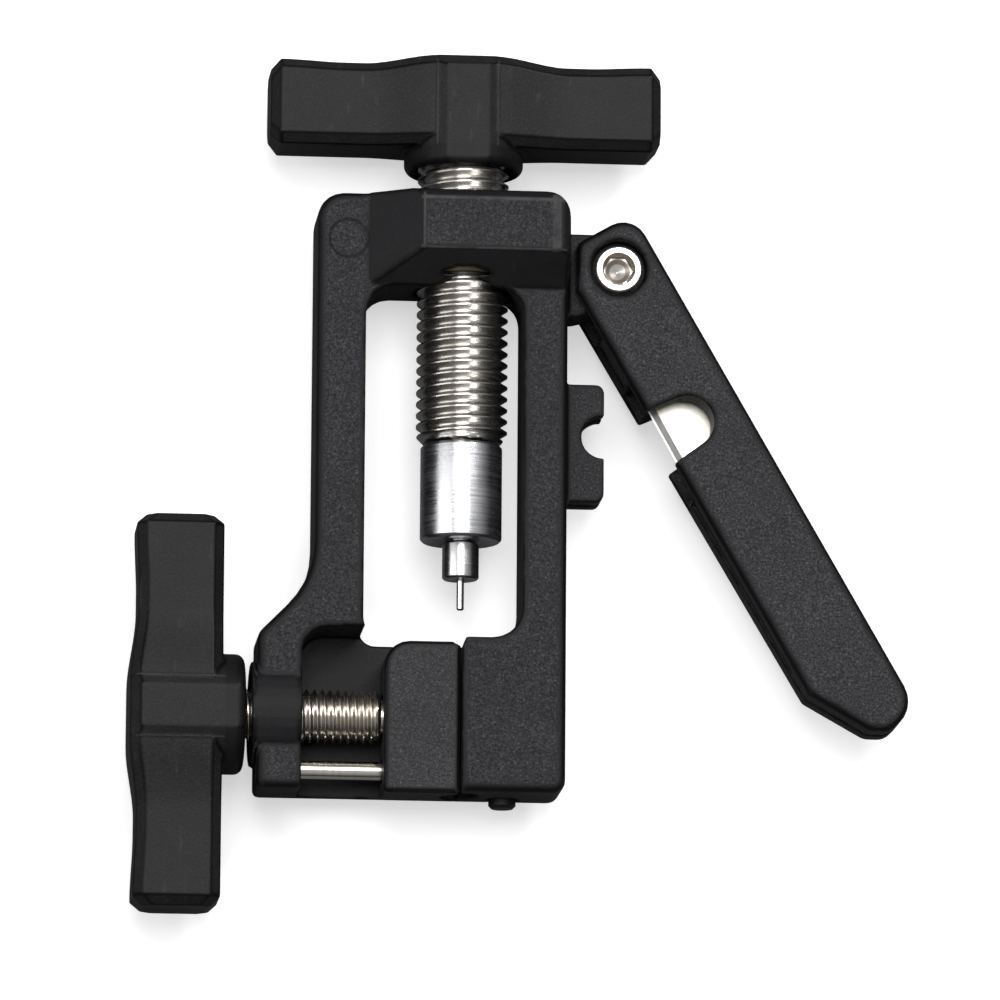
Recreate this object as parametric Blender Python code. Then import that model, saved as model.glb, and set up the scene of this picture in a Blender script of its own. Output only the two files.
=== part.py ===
"""Brake-hose tool: a hose cutter, a hose clamp and a needle driver on one moulded frame.

Lengths are in millimetres and are turned into metres where a mesh is made. The frame's own
datum has X across it from the driver's axis, Y up from its bottom edge and Z out of its mid-plane.
The whole tool then lies flat, with the back of its boss on Z = 0.
"""

from math import atan2, cos, pi, radians, sin, sqrt, tan

import bmesh
import bpy
from mathutils import Matrix, Vector

MM = 0.001
GAP = 0.3
SIDES = 32
SMALL_SIDES = 20
PAST = 2.0

# Frame
FRAME_TOP = 79.0
FRAME_RIGHT = 13.5
LEG_LEFT = -19.45
LEG_BEND = 27.6
LUG_LEFT = -26.7
LUG_BOSS_LEFT = -27.4
LUG_RIGHT = -20.9
LUG_SHOULDER = 20.25
FRAME_HALF = 5.3
FRAME_EDGE = 0.9
WINDOW = (-13.0, 20.3, 7.8, 66.7)
POCKET_TOP = 21.35
POCKET_FLOOR = -3.9
BOSS_HALF = 9.8
BOSS_LEFT = -12.7
BOSS_FACE_LEFT = -5.8
BOSS_UNDER = 66.7
BOSS_FACE_LOW = 71.0
REST_Y = 75.0
LUG_BOSS_RADIUS = 6.9
HOSE_RADIUS = 2.55
SPLIT_NOTCH = 1.2
BLOCK_SCREW = (-2.9, 5.9)
BLOCK_SCREW_BORE = (2.05, 6.6)

# Pivot lug and anvil on the frame's right side
PIVOT = (20.1, 69.5)
PIVOT_LUG_LOW = 63.4
PIVOT_LUG_HIGH = 74.5
PIVOT_LUG_HALF = 3.5
PIVOT_LUG_RADIUS = 4.6
ANVIL_LOW = 38.8
ANVIL_HIGH = 54.5
ANVIL_RIGHT = 18.5
ANVIL_HALF = 3.0
ANVIL_SLOT_HALF = 0.6
NOTCH_Y = 47.5
NOTCH_RADIUS = 2.8

# Needle driver, along Y
PRESS_RADIUS = 6.0
THREAD_CLEARANCE = 0.2
THREAD_CHAMFER = 0.9
BUSH_LOW = 68.4
BUSH_HIGH = 78.6
BUSH_RADIUS = 7.2
PRESS_LOW = 46.5
BARREL_LOW = 33.6
BARREL_RADIUS = 5.35
HOLDER_LOW = 28.6
HOLDER_RADIUS = 2.4
NEEDLE_TIP = 24.6
NEEDLE_RADIUS = 0.48
SPIGOT_RADIUS = 2.0
SPIGOT_LOW = 41.0
HOLDER_SHANK_RADIUS = 1.5
HOLDER_SHANK_TOP = 37.0
PRESS_HUB_Y = 82.7

# Clamp, along X
CLAMP_Y = 10.2
CLAMP_RADIUS = 3.5
CLAMP_BORE_RADIUS = 5.0
CLAMP_INSERT_RADIUS = 4.7
CLAMP_HUB_X = -28.2
JAW_LEFT = -10.1
JAW_RIGHT = -0.15
JAW_LOW = -0.2
JAW_HIGH = 19.8
JAW_BACK = -3.6
JAW_FRONT = 4.3
NOSE_RADIUS = 2.3
NOSE_END = -4.8
GROOVE_RADIUS = 1.6
GROOVE = (-8.3, -7.2)
CLIP_HALF_WIDTH = 2.9
CLIP_ENDS = (-3.2, 2.4)
GUIDE_DROP = 7.1
GUIDE_RADIUS = 1.2
GUIDE_ENDS = (-26.5, -3.6)

# T-handle, the same moulding on both screws
WING_HALF_LENGTH = 25.75
WING_LOW = 2.9
WING_END = 14.3
WING_WAIST = 14.0
WING_CENTRE = 15.0
WING_HALF = 5.2
WING_CENTRE_HALF = 7.1
WING_CHAMFER = 1.3
HUB_RADIUS = 7.85
HUB_FLAT = 7.35
HANDLE_BORE_END = 11.6

# Cutter arm: local X along the arm from the pivot, local Y away from the frame
ARM_OPEN = 30.3
ARM_LEFT = -6.35
ARM_RIGHT = 5.35
ARM_TOP = -5.6
ARM_CUT = 5.55
ARM_LENGTH = 70.3
ARM_HALF_PIVOT = 6.2
ARM_HALF_TIP = 4.2
ARM_EDGE = 0.8
FORK_END = 6.6
SLIT_HALF = 0.4
SEAM_HALF = 0.15
SLIT_BACK = 2.8
U_AXIS = 22.0
U_WIDTH = 6.9
U_CENTRE = -2.2
U_MOUTH_HALF = 3.9
ANVIL_POCKET = (13.9, ARM_LEFT - PAST, 31.3, -0.9)
ANVIL_POCKET_HALF = 3.3
BLADE_ENDS = (12.0, 54.0)
BLADE_HALF = 0.25
BLADE_EDGE = (-5.05, -5.95)
BLADE_BACK = 2.4
BLADE_GRIND = 1.05
BLADE_HOLE = 1.8
PIVOT_HEAD_RADIUS = 3.1
PIVOT_HEAD_SINK = 0.6
PIVOT_HEAD_LOW = 4.5
PIVOT_RADIUS = 2.6
PIVOT_THREAD = 1.9
COUNTERBORE_RADIUS = 3.75
SOCKET_FLATS = 3.6
SOCKET_DEPTH = 1.8
NUT_RADIUS = 3.2
NUT_BORE = 2.2
ARM_SCREWS = ((37.0, 0.0), (61.5, 0.6))
ARM_SCREW_RADIUS = 1.4
ARM_SCREW_BORE = (1.7, 3.1)
ARM_SCREW_TIP = (2.4, 2.8)
ARM_SCREW_HEAD = (2.6, 1.3)
ARM_SCREW_SEAT = (3.0, 1.8)
ARM_SCREW_SOCKET = 1.3
FAR = 20.0

PLASTIC = ((0.022, 0.022, 0.024), 0.55, 0.0)
NICKEL = ((0.62, 0.60, 0.56), 0.25, 1.0)
STEEL = ((0.55, 0.56, 0.57), 0.22, 1.0)
BRASS = ((0.58, 0.43, 0.20), 0.35, 1.0)
BLACKENED = ((0.05, 0.05, 0.05), 0.45, 1.0)


# Shapes ------------------------------------------------------------------------------------


def along(axis, u, v, w):
    """The point at (u, v) in the plane across the axis, w along it, as X, Y, Z."""
    if axis == "X":
        return Vector((w, u, v)) * MM
    if axis == "Y":
        return Vector((v, w, u)) * MM
    return Vector((u, v, w)) * MM


def circle(radius, sides, centre=(0.0, 0.0), start=0.0):
    """Corners of a polygon that the circle of this radius passes through."""
    turns = [start + 2 * pi * i / sides for i in range(sides)]
    return [(centre[0] + radius * cos(t), centre[1] + radius * sin(t)) for t in turns]


def rounded(corners, steps=5):
    """Outline through corners of (x, y, radius), each one turned into an arc of its radius."""
    outline = []
    for i, (x, y, radius) in enumerate(corners):
        corner = Vector((x, y))
        if radius == 0:
            outline.append(corner)
            continue
        back = (Vector(corners[i - 1][:2]) - corner).normalized()
        ahead = (Vector(corners[(i + 1) % len(corners)][:2]) - corner).normalized()
        half = back.angle(ahead) / 2
        centre = corner + (back + ahead).normalized() * radius / sin(half)
        first = corner + back * radius / tan(half) - centre
        last = corner + ahead * radius / tan(half) - centre
        sweep = atan2(first.x * last.y - first.y * last.x, first.dot(last))
        for step in range(steps + 1):
            outline.append(centre + Matrix.Rotation(sweep * step / steps, 2) @ first)
    return outline


def box_outline(left, low, right, high):
    return [(left, low), (right, low), (right, high), (left, high)]


def solid(name, parent, finish, shape):
    """A closed object from a bmesh, with its faces pointing out and its own material."""
    bmesh.ops.recalc_face_normals(shape, faces=shape.faces)
    mesh = bpy.data.meshes.new(name)
    shape.to_mesh(mesh)
    shape.free()
    mesh.shade_smooth()
    mesh.set_sharp_from_angle(angle=radians(32))
    obj = bpy.data.objects.new(name, mesh)
    bpy.context.scene.collection.objects.link(obj)
    obj.parent = parent
    if finish is None:
        obj.hide_render = True
        obj.display_type = "WIRE"
        return obj
    colour, roughness, metallic = finish
    material = bpy.data.materials.new(name)
    material.use_nodes = True
    shader = material.node_tree.nodes["Principled BSDF"]
    shader.inputs["Base Color"].default_value = (*colour, 1.0)
    shader.inputs["Roughness"].default_value = roughness
    shader.inputs["Metallic"].default_value = metallic
    obj.data.materials.append(material)
    return obj


def prism(name, parent, outline, low, high, axis="Z", finish=None, taper=None):
    """The outline carried from low to high along the axis. A taper gives each end's height."""
    shape = bmesh.new()
    ends = []
    for level in (low, high):
        heights = [level * taper(u) if taper else level for u, v in outline]
        points = [along(axis, u, v, w) for (u, v), w in zip(outline, heights)]
        ends.append([shape.verts.new(point) for point in points])
    shape.faces.new(ends[0])
    shape.faces.new(ends[1])
    for i in range(len(outline)):
        shape.faces.new((ends[0][i - 1], ends[0][i], ends[1][i], ends[1][i - 1]))
    return solid(name, parent, finish, shape)


def turned(name, parent, profile, axis, centre=(0.0, 0.0), finish=None, sides=SIDES, closed=False):
    """The profile of (radius, height) turned about the axis. A closed one is a ring."""
    shape = bmesh.new()
    rings = []
    for radius, height in profile:
        corners = circle(radius, sides, centre) if radius else [centre]
        rings.append([shape.verts.new(along(axis, u, v, height)) for u, v in corners])
    pairs = list(zip(rings, rings[1:]))
    if closed:
        pairs.append((rings[-1], rings[0]))
    for low, high in pairs:
        for i in range(sides):
            before = [low[i - 1], low[i]] if len(low) > 1 else low
            after = [high[i], high[i - 1]] if len(high) > 1 else high
            shape.faces.new(before + after)
    return solid(name, parent, finish, shape)


def rod(name, parent, radius, low, high, axis, centre=(0.0, 0.0), finish=None, chamfer=0.0, sides=SIDES):
    """A round bar, with its ends chamfered if a chamfer is given."""
    profile = [(0, low), (radius - chamfer, low), (radius - chamfer, high), (0, high)]
    if chamfer:
        profile[2:2] = [(radius, low + chamfer), (radius, high - chamfer)]
    return turned(name, parent, profile, axis, centre, finish, sides)


def hull(name, parent, points, finish=None):
    """The smallest convex solid around the points."""
    shape = bmesh.new()
    for point in points:
        shape.verts.new(Vector(point) * MM)
    made = bmesh.ops.convex_hull(shape, input=shape.verts)
    loose = [item for item in made["geom_interior"] if isinstance(item, bmesh.types.BMVert)]
    bmesh.ops.delete(shape, geom=loose, context="VERTS")
    return solid(name, parent, finish, shape)


def boolean(target, operation, others):
    for other in others:
        modifier = target.modifiers.new(other.name, "BOOLEAN")
        modifier.operation = operation
        modifier.solver = "EXACT"
        modifier.object = other


def cut(target, *cutters):
    boolean(target, "DIFFERENCE", cutters)


def join(target, *others):
    boolean(target, "UNION", others)


def bevel(target, width, segments=2, angle=40):
    modifier = target.modifiers.new("edges", "BEVEL")
    modifier.width = width * MM
    modifier.segments = segments
    modifier.limit_method = "ANGLE"
    modifier.angle_limit = radians(angle)


def datum(name, parent, location, turn=0.0):
    """An empty that a group of pieces is placed from."""
    empty = bpy.data.objects.new(name, None)
    bpy.context.scene.collection.objects.link(empty)
    empty.parent = parent
    empty.location = Vector(location) * MM
    empty.rotation_euler.z = turn
    return empty


# Frame -------------------------------------------------------------------------------------


def frame_plate(tool):
    """The flat body of the frame, with the shoulder that widens it to the clamp lug."""
    corners = [
        (FRAME_RIGHT, FRAME_TOP, 3.6),
        (LEG_LEFT, FRAME_TOP, 3.4),
        (LEG_LEFT, LEG_BEND, 12.0),
        (LUG_LEFT, LUG_SHOULDER, 2.0),
        (LUG_LEFT, 0.0, 0.8),
        (FRAME_RIGHT, 0.0, 1.6),
    ]
    plate = prism("frame", tool, rounded(corners), -FRAME_HALF, FRAME_HALF, finish=PLASTIC)
    bevel(plate, FRAME_EDGE)
    return plate


def frame_boss(tool):
    """The thick head round the press screw: a raised face, a ramp on its left and one below."""
    corners = [(BOSS_LEFT, BOSS_UNDER, 0), (FRAME_RIGHT, BOSS_UNDER, 0), (FRAME_RIGHT, FRAME_TOP, 3.6),
               (BOSS_LEFT, FRAME_TOP, 0)]
    outline = rounded(corners)
    points = []
    for side in (-1, 1):
        points += [(x, y, side * FRAME_HALF) for x, y in outline]
        points += [(max(x, BOSS_FACE_LEFT), max(y, BOSS_FACE_LOW), side * BOSS_HALF) for x, y in outline]
    return hull("frame_boss", tool, points)


def pivot_lug(tool):
    """The ear that the cutter arm's fork straddles."""
    x, y = PIVOT
    turns = [radians(-75 + 15 * i) for i in range(11)]
    nose = [(x + PIVOT_LUG_RADIUS * cos(t), y + PIVOT_LUG_RADIUS * sin(t)) for t in turns]
    root = FRAME_RIGHT - 3
    outline = [(root, PIVOT_LUG_HIGH), (root, PIVOT_LUG_LOW), (FRAME_RIGHT + 1, PIVOT_LUG_LOW)]
    outline += nose + [(x, PIVOT_LUG_HIGH)]
    return prism("pivot_lug", tool, outline, -PIVOT_LUG_HALF, PIVOT_LUG_HALF)


def anvil(tool):
    """The block with a round notch that the hose lies in while the blade cuts it."""
    root = FRAME_RIGHT - 3
    corners = [(root, ANVIL_LOW, 0), (ANVIL_RIGHT, ANVIL_LOW, 1.1), (ANVIL_RIGHT, ANVIL_HIGH, 1.1),
               (root, ANVIL_HIGH, 0)]
    return prism("anvil", tool, rounded(corners), -ANVIL_HALF, ANVIL_HALF)


def frame_openings(tool):
    """Every opening cut through the frame's body and its bosses."""
    left, low, right, high = WINDOW
    window = [(left, low, 2.2), (right, low, 4.0), (right, high, 3.3), (left, high, 3.6)]
    pocket = [(LUG_RIGHT, -PAST, 0), (0, -PAST, 0), (0, POCKET_TOP, 0), (LUG_RIGHT, POCKET_TOP, 3.3)]
    notch_centre = (ANVIL_RIGHT - 0.15, NOTCH_Y)
    split = [(-SPLIT_NOTCH, low + PAST), (0.0, low - SPLIT_NOTCH), (SPLIT_NOTCH, low + PAST)]
    lug = (LUG_BOSS_LEFT - PAST, LUG_RIGHT + PAST)
    slot = box_outline(FRAME_RIGHT + 0.5, ANVIL_LOW - PAST, ANVIL_RIGHT + PAST, ANVIL_HIGH + PAST)
    return [
        prism("window", tool, rounded(window), -BOSS_HALF - PAST, BOSS_HALF + PAST),
        prism("clamp_pocket", tool, rounded(pocket), POCKET_FLOOR, BOSS_HALF + PAST),
        prism("split_notch", tool, split, -FRAME_HALF - PAST, FRAME_HALF + PAST),
        rod("press_way", tool, PRESS_RADIUS + 0.4, BOSS_UNDER - PAST, FRAME_TOP, "Y"),
        rod("press_bore", tool, BUSH_RADIUS + GAP, BUSH_LOW - GAP, FRAME_TOP + PAST, "Y"),
        rod("clamp_bore", tool, CLAMP_BORE_RADIUS, *lug, "X", (CLAMP_Y, 0)),
        rod("guide_bore", tool, GUIDE_RADIUS + GAP, *lug, "X", (CLAMP_Y - GUIDE_DROP, 0), sides=SMALL_SIDES),
        rod("hose_bore", tool, HOSE_RADIUS, -PAST, low + PAST, "Y", sides=SMALL_SIDES),
        rod("block_screw_bore", tool, BLOCK_SCREW_BORE[0], -PAST, BLOCK_SCREW_BORE[1], "Y", BLOCK_SCREW,
            sides=SMALL_SIDES),
        rod("anvil_notch", tool, NOTCH_RADIUS, -ANVIL_HALF - PAST, ANVIL_HALF + PAST, "Z", notch_centre),
        prism("anvil_slot", tool, slot, -ANVIL_SLOT_HALF, ANVIL_SLOT_HALF),
        rod("pivot_bore", tool, PIVOT_RADIUS + GAP, -FRAME_HALF, FRAME_HALF, "Z", PIVOT, sides=SMALL_SIDES),
    ]


def build_frame(tool):
    frame = frame_plate(tool)
    lug_boss = rod("clamp_boss", tool, LUG_BOSS_RADIUS, LUG_BOSS_LEFT, LUG_RIGHT + 0.5, "X", (CLAMP_Y, 0))
    join(frame, frame_boss(tool), lug_boss, pivot_lug(tool), anvil(tool))
    cut(frame, *frame_openings(tool))


def block_screw(tool):
    """The small black screw in the bottom of the fixed jaw block."""
    profile = [(0, -1.1), (1.4, -1.1), (1.8, -0.7), (1.8, 0.4), (1.5, 0.4), (1.5, 6.0), (0, 6.0)]
    turned("block_screw", tool, profile, "Y", BLOCK_SCREW, BLACKENED, SMALL_SIDES)


# Needle driver -----------------------------------------------------------------------------


def bush(name, parent, outer, inner, low, high, axis):
    """A threaded bush moulded into the frame."""
    profile = [(outer, low), (outer, high), (inner, high), (inner, low)]
    turned(name, parent, profile, axis, finish=BRASS, closed=True)


def press_screw(axis):
    """The threaded rod, with the spigot that the barrel turns on."""
    low, high = PRESS_LOW + GAP / 2, PRESS_HUB_Y + HANDLE_BORE_END - GAP
    end, chamfer = PRESS_RADIUS - THREAD_CHAMFER, THREAD_CHAMFER
    profile = [(0, SPIGOT_LOW), (SPIGOT_RADIUS, SPIGOT_LOW), (SPIGOT_RADIUS, low), (end, low),
               (PRESS_RADIUS, low + chamfer), (PRESS_RADIUS, high - chamfer), (end, high), (0, high)]
    turned("press_screw", axis, profile, "Y", finish=NICKEL)


def driver_barrel(axis):
    """The turned barrel, bored from above for the spigot and from below for the holder."""
    top = PRESS_LOW - GAP / 2
    profile = [(BARREL_RADIUS - 0.6, BARREL_LOW), (BARREL_RADIUS, BARREL_LOW + 0.6), (BARREL_RADIUS, top),
               (SPIGOT_RADIUS + GAP, top), (SPIGOT_RADIUS + GAP, SPIGOT_LOW - GAP),
               (HOLDER_SHANK_RADIUS + GAP, SPIGOT_LOW - GAP - 0.5), (HOLDER_SHANK_RADIUS + GAP, BARREL_LOW)]
    turned("driver_barrel", axis, profile, "Y", finish=STEEL, closed=True)


def needle_holder(axis):
    """The stepped holder whose shank goes up into the barrel and whose bore grips the needle."""
    top = BARREL_LOW - GAP
    bore = NEEDLE_RADIUS + GAP
    profile = [(HOLDER_RADIUS - 0.35, HOLDER_LOW), (HOLDER_RADIUS, HOLDER_LOW + 0.35), (HOLDER_RADIUS, top),
               (HOLDER_SHANK_RADIUS, top), (HOLDER_SHANK_RADIUS, HOLDER_SHANK_TOP), (bore, HOLDER_SHANK_TOP),
               (bore, HOLDER_LOW)]
    turned("needle_holder", axis, profile, "Y", finish=STEEL, closed=True, sides=24)


def build_driver(tool):
    axis = datum("press_axis", tool, (0, 0, 0))
    bush("press_insert", axis, BUSH_RADIUS, PRESS_RADIUS + THREAD_CLEARANCE, BUSH_LOW, BUSH_HIGH, "Y")
    press_screw(axis)
    driver_barrel(axis)
    needle_holder(axis)
    rod("needle", axis, NEEDLE_RADIUS, NEEDLE_TIP, HOLDER_SHANK_TOP - 0.4, "Y", finish=STEEL, sides=12)
    t_handle("press_handle", axis, (0, PRESS_HUB_Y, 0), 0.0, PRESS_RADIUS + GAP)


# T-handle ----------------------------------------------------------------------------------


def smoothstep(value, start, end):
    t = min(max((value - start) / (end - start), 0.0), 1.0)
    return t * t * (3 - 2 * t)


def wing_section(x):
    """The chamfered cross-section of the wing at x: its outer edge dips and it swells to the hub."""
    away = abs(x)
    outer = WING_CENTRE + (WING_WAIST - WING_CENTRE) * smoothstep(away, 3.8, 13.5)
    outer += (WING_END - WING_WAIST) * smoothstep(away, 16.0, 24.0)
    half = WING_CENTRE_HALF + (WING_HALF - WING_CENTRE_HALF) * smoothstep(away, 3.8, 13.0)
    corner = WING_CHAMFER
    low, high = WING_LOW, outer
    if away > WING_HALF_LENGTH - 0.1:
        low, high, half = low + corner, high - corner, half - corner
        corner = 0.5
    return [(low, half - corner), (low + corner, half), (high - corner, half), (high, half - corner),
            (high, corner - half), (high - corner, -half), (low + corner, -half), (low, corner - half)]


def wing(name, parent):
    """The wing, lofted through its cross-sections from one end to the other."""
    half = [3.8, 6.5, 9.0, 11.5, 14.0, 17.0, 21.0, WING_HALF_LENGTH - WING_CHAMFER, WING_HALF_LENGTH]
    stations = [-x for x in reversed(half)] + half
    shape = bmesh.new()
    rings = []
    for x in stations:
        rings.append([shape.verts.new(Vector((x, a, z)) * MM) for a, z in wing_section(x)])
    for before, after in zip(rings, rings[1:]):
        for i in range(len(before)):
            shape.faces.new((before[i - 1], before[i], after[i], after[i - 1]))
    shape.faces.new(rings[0])
    shape.faces.new(rings[-1])
    return solid(name, parent, PLASTIC, shape)


def t_handle(name, parent, location, turn, bore):
    """A wing with a round hub under it, flattened front and back, and a blind bore for the screw."""
    handle = wing(name, parent)
    hub_outline = [(min(max(z, -HUB_FLAT), HUB_FLAT), x) for z, x in circle(HUB_RADIUS, 40)]
    hub = prism(name + "_hub", handle, hub_outline, 0.0, WING_WAIST - 0.6, "Y")
    bevel(hub, 0.6, segments=2, angle=60)
    join(handle, hub)
    cut(handle, rod(name + "_bore", handle, bore, -PAST, HANDLE_BORE_END, "Y"))
    handle.location = Vector(location) * MM
    handle.rotation_euler.z = turn


# Clamp -------------------------------------------------------------------------------------


def clamp_screw(axis):
    """The clamp screw, with a grooved nose that turns in the jaw."""
    start = CLAMP_HUB_X - HANDLE_BORE_END + GAP
    body = JAW_LEFT - GAP
    radius, nose, groove = CLAMP_RADIUS, NOSE_RADIUS, GROOVE_RADIUS
    profile = [(0, start), (radius - 0.6, start), (radius, start + 0.6), (radius, body - 0.5),
               (radius - 0.5, body), (nose, body), (nose, GROOVE[0]), (groove, GROOVE[0]),
               (groove, GROOVE[1]), (nose, GROOVE[1]), (nose, NOSE_END - 0.4), (nose - 0.4, NOSE_END),
               (0, NOSE_END)]
    turned("clamp_screw", axis, profile, "X", finish=NICKEL, sides=24)


def clamp_jaw(axis):
    """The sliding half of the hose clamp."""
    low, high = JAW_LOW - CLAMP_Y, JAW_HIGH - CLAMP_Y
    corners = [(JAW_LEFT, low, 0.6), (JAW_RIGHT, low, 0), (JAW_RIGHT, high, 0), (JAW_LEFT, high, 3.3)]
    jaw = prism("clamp_jaw", axis, rounded(corners), JAW_BACK, JAW_FRONT, finish=PLASTIC)
    bevel(jaw, 0.4, segments=1, angle=60)
    start = JAW_LEFT - PAST
    clip_slot = box_outline(-3.3, JAW_BACK - PAST, 3.3, 2.7)
    notch = [(JAW_RIGHT - 1.1, high + PAST), (JAW_RIGHT - 0.9, high - 0.2), (JAW_RIGHT + PAST, high - 1.4),
             (JAW_RIGHT + PAST, high + PAST)]
    cut(
        jaw,
        rod("jaw_hose_bore", axis, HOSE_RADIUS, low - PAST, high + PAST, "Y", sides=SMALL_SIDES),
        rod("jaw_nose_bore", axis, NOSE_RADIUS + GAP, start, NOSE_END + GAP, "X", sides=SMALL_SIDES),
        rod("jaw_pin_bore", axis, GUIDE_RADIUS + GAP, start, GUIDE_ENDS[1] + GAP, "X", (-GUIDE_DROP, 0),
            sides=SMALL_SIDES),
        prism("jaw_clip_slot", axis, clip_slot, GROOVE[0] - 0.05, GROOVE[1] + 0.05, "X"),
        prism("jaw_notch", axis, notch, JAW_BACK - PAST, JAW_FRONT + PAST),
    )


def jaw_clip(axis):
    """The U-shaped clip, pushed in from behind, that holds the screw's nose in the jaw."""
    thin = GROOVE_RADIUS + THREAD_CLEARANCE
    wide = CLIP_HALF_WIDTH
    tips, back = CLIP_ENDS
    turns = [radians(180 * i / 8) for i in range(9)]
    inner = [(thin * cos(t), thin * sin(t)) for t in reversed(turns)]
    outline = [(thin, tips), (wide, tips), (wide, back), (-wide, back), (-wide, tips), (-thin, tips)] + inner
    prism("jaw_clip", axis, outline, GROOVE[0] + 0.25, GROOVE[1] - 0.25, "X", STEEL)


def build_clamp(tool):
    axis = datum("clamp_axis", tool, (0, CLAMP_Y, 0))
    inner = CLAMP_RADIUS + THREAD_CLEARANCE
    bush("clamp_insert", axis, CLAMP_INSERT_RADIUS, inner, LUG_BOSS_LEFT + GAP, LUG_RIGHT - GAP, "X")
    clamp_screw(axis)
    clamp_jaw(axis)
    jaw_clip(axis)
    rod("guide_pin", axis, GUIDE_RADIUS, *GUIDE_ENDS, "X", (-GUIDE_DROP, 0), STEEL, 0.25, SMALL_SIDES)
    t_handle("clamp_handle", axis, (CLAMP_HUB_X, 0, 0), radians(90), CLAMP_RADIUS + GAP)


# Cutter arm --------------------------------------------------------------------------------


def arm_thickness(u):
    """Half the arm's thickness at u from the pivot, as a share of that at the pivot."""
    return 1 + (ARM_HALF_TIP / ARM_HALF_PIVOT - 1) * u / ARM_LENGTH


def arm_outline():
    """The arm in plan: a cut corner beside the boss, and a slanted, rounded tip."""
    slope = (cos(radians(ARM_OPEN)), sin(radians(ARM_OPEN)))
    cut_left = (ARM_LEFT * -slope[0] - ARM_CUT) / slope[1]
    cut_top = (ARM_TOP * -slope[1] - ARM_CUT) / slope[0]
    corners = [
        (cut_left, ARM_LEFT, 1.5),
        (60.9, ARM_LEFT, 0.8),
        (68.9, -1.7, 2.2),
        (ARM_LENGTH, 0.6, 2.2),
        (ARM_LENGTH - 1.2, ARM_RIGHT, 4.0),
        (ARM_TOP, ARM_RIGHT, 3.3),
        (ARM_TOP, cut_top, 1.5),
    ]
    return rounded(corners)


def arm_half(name, pivot, side):
    """One moulded half of the arm. The halves meet along the back and leave a slit at the front."""
    thick = (-ARM_HALF_PIVOT, ARM_HALF_PIVOT)
    half = prism(name, pivot, arm_outline(), *thick, finish=PLASTIC, taper=arm_thickness)
    bevel(half, ARM_EDGE)
    whole = box_outline(-FAR, -FAR, ARM_LENGTH + FAR, FAR)
    slit = box_outline(-FAR, -FAR, ARM_LENGTH + FAR, SLIT_BACK)
    fork = box_outline(-FAR, -FAR, FORK_END, FAR)
    pocket = box_outline(*ANVIL_POCKET)
    turns = [pi * i / 12 for i in range(13)]
    window = [(U_AXIS + U_WIDTH / 2 * cos(t), U_CENTRE + U_WIDTH / 2 * sin(t)) for t in turns]
    window = [(U_AXIS + U_MOUTH_HALF, ARM_LEFT - PAST), (U_AXIS + U_MOUTH_HALF, ARM_LEFT)] + window
    window += [(U_AXIS - U_MOUTH_HALF, ARM_LEFT), (U_AXIS - U_MOUTH_HALF, ARM_LEFT - PAST)]
    parting = sorted((-side * FAR, side * SEAM_HALF))
    slit_levels = sorted((-side * FAR, side * SLIT_HALF))
    bore, seat = PIVOT_RADIUS + GAP, side * (PIVOT_HEAD_LOW - 0.1)
    bore_profile = [(0, -side * FAR), (bore, -side * FAR), (bore, seat), (COUNTERBORE_RADIUS, seat),
                    (COUNTERBORE_RADIUS, side * FAR), (0, side * FAR)]
    cutters = [
        prism(name + "_parting", pivot, whole, *parting),
        prism(name + "_slit", pivot, slit, *slit_levels),
        prism(name + "_fork", pivot, fork, -PIVOT_LUG_HALF - GAP, PIVOT_LUG_HALF + GAP),
        prism(name + "_anvil_pocket", pivot, pocket, -ANVIL_POCKET_HALF, ANVIL_POCKET_HALF),
        prism(name + "_window", pivot, window, -FAR, FAR),
        turned(name + "_pivot_bore", pivot, bore_profile, "Z", sides=24),
    ]
    for number, centre in enumerate(ARM_SCREWS, 1):
        bore = f"{name}_screw_bore_{number}"
        radius, end = ARM_SCREW_BORE
        cutters.append(rod(bore, pivot, radius, -FAR, end, "Z", centre, sides=16))
        if side < 0:
            radius, depth = ARM_SCREW_SEAT
            seat = -ARM_HALF_PIVOT * arm_thickness(centre[0]) + depth
            cutters.append(rod(bore + "_seat", pivot, radius, -FAR, seat, "Z", centre, sides=SMALL_SIDES))
    cut(half, *cutters)


def blade(pivot):
    """The thin blade, ground from both sides to an edge, with a hole for the screw through it."""
    back = BLADE_BACK
    shape = bmesh.new()
    rings = []
    for u, edge in zip(BLADE_ENDS, BLADE_EDGE):
        ground = edge + BLADE_GRIND
        half = BLADE_HALF
        section = [(back, -half), (ground, -half), (edge, 0.0), (ground, half), (back, half)]
        rings.append([shape.verts.new(Vector((u, v, z)) * MM) for v, z in section])
    for i in range(len(rings[0])):
        shape.faces.new((rings[0][i - 1], rings[0][i], rings[1][i], rings[1][i - 1]))
    shape.faces.new(rings[0])
    shape.faces.new(rings[1])
    made = solid("blade", pivot, STEEL, shape)
    cut(made, rod("blade_hole", pivot, BLADE_HOLE, -PAST, PAST, "Z", ARM_SCREWS[0], sides=16))


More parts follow.
